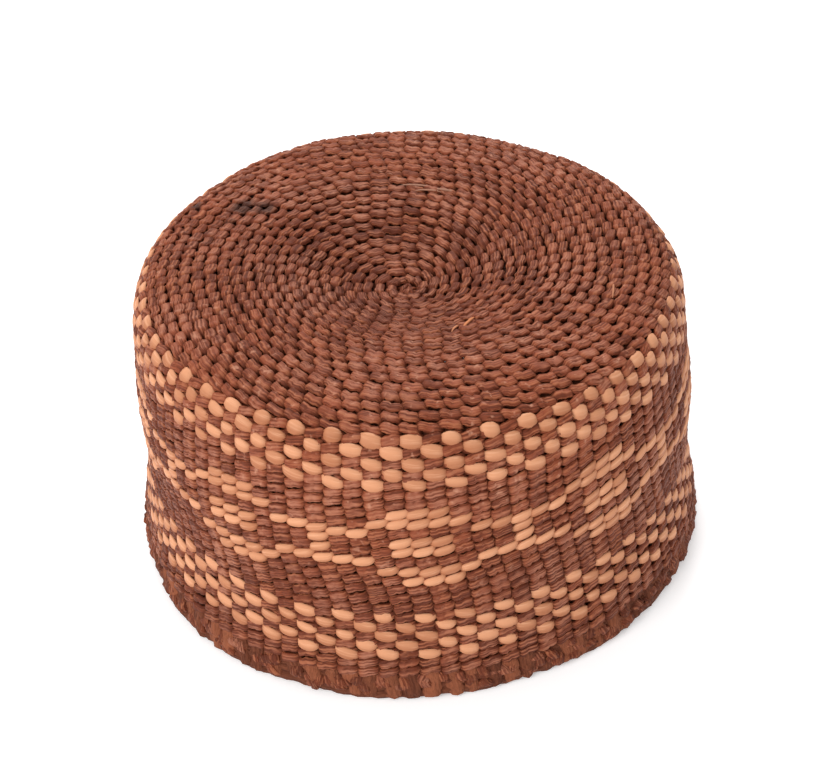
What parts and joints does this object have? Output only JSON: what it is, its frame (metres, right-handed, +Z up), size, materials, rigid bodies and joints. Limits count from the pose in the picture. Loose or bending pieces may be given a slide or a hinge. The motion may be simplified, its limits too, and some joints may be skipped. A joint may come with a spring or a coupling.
{
  "type": "twined basketry cap",
  "caption": "Round twined basketry cap with a flat, dished crown, a flaring wall with tan overlay pattern bands, and a rim of trimmed warp ends.",
  "frame": {"origin": "middle of the plane that the rim rests on", "axes": "+Z up through the middle of the crown; the middle of one pattern block faces -Y"},
  "size_m": [0.19, 0.19, 0.094],
  "materials": {
    "weft_brown": "satin split-root strands, reddish brown, twined close",
    "overlay_tan": "smooth satin overlay strip, light orange tan",
    "warp_wood": "peeled shoots, dark reddish brown, matt"
  },
  "bodies": {
    "root": {"start_knot": "weft_brown", "crown_course_01": "weft_brown", "crown_course_02": "weft_brown", "crown_course_03": "weft_brown", "crown_course_04": "weft_brown", "crown_course_05": "weft_brown", "crown_course_06": "weft_brown", "crown_course_07": "weft_brown", "crown_course_08": "weft_brown", "crown_course_09": "weft_brown", "crown_course_10": "weft_brown", "crown_course_11": "weft_brown", "crown_course_12": "weft_brown", "crown_course_13": "weft_brown", "crown_course_14": "weft_brown", "crown_course_15": "weft_brown", "crown_course_16": "weft_brown", "crown_course_17": "weft_brown", "crown_course_18": "weft_brown", "crown_course_19": "weft_brown", "crown_course_20": "weft_brown", "crown_course_21": "weft_brown", "crown_course_22": "weft_brown", "wall_course_01": "overlay_tan", "wall_course_02": "overlay_tan", "wall_course_03": "overlay_tan", "wall_course_04": "overlay_tan", "wall_course_05": "overlay_tan", "wall_course_06": "weft_brown", "wall_course_07": "weft_brown", "wall_course_08": "overlay_tan", "wall_course_09": "overlay_tan", "wall_course_10": "overlay_tan", "wall_course_11": "overlay_tan", "wall_course_12": "overlay_tan", "wall_course_13": "overlay_tan", "wall_course_14": "overlay_tan", "wall_course_15": "overlay_tan", "wall_course_16": "weft_brown", "wall_course_17": "weft_brown", "wall_course_18": "weft_brown", "wall_course_19": "overlay_tan", "wall_course_20": "overlay_tan", "wall_course_21": "overlay_tan", "wall_course_22": "overlay_tan", "wall_course_23": "overlay_tan", "wall_course_24": "weft_brown", "wall_course_25": "weft_brown", "warp_stakes": "warp_wood", "inner_turns_crown": "weft_brown", "inner_turns_wall": "weft_brown", "rim_warp_ends": "warp_wood"}
  },
  "joints": []
}
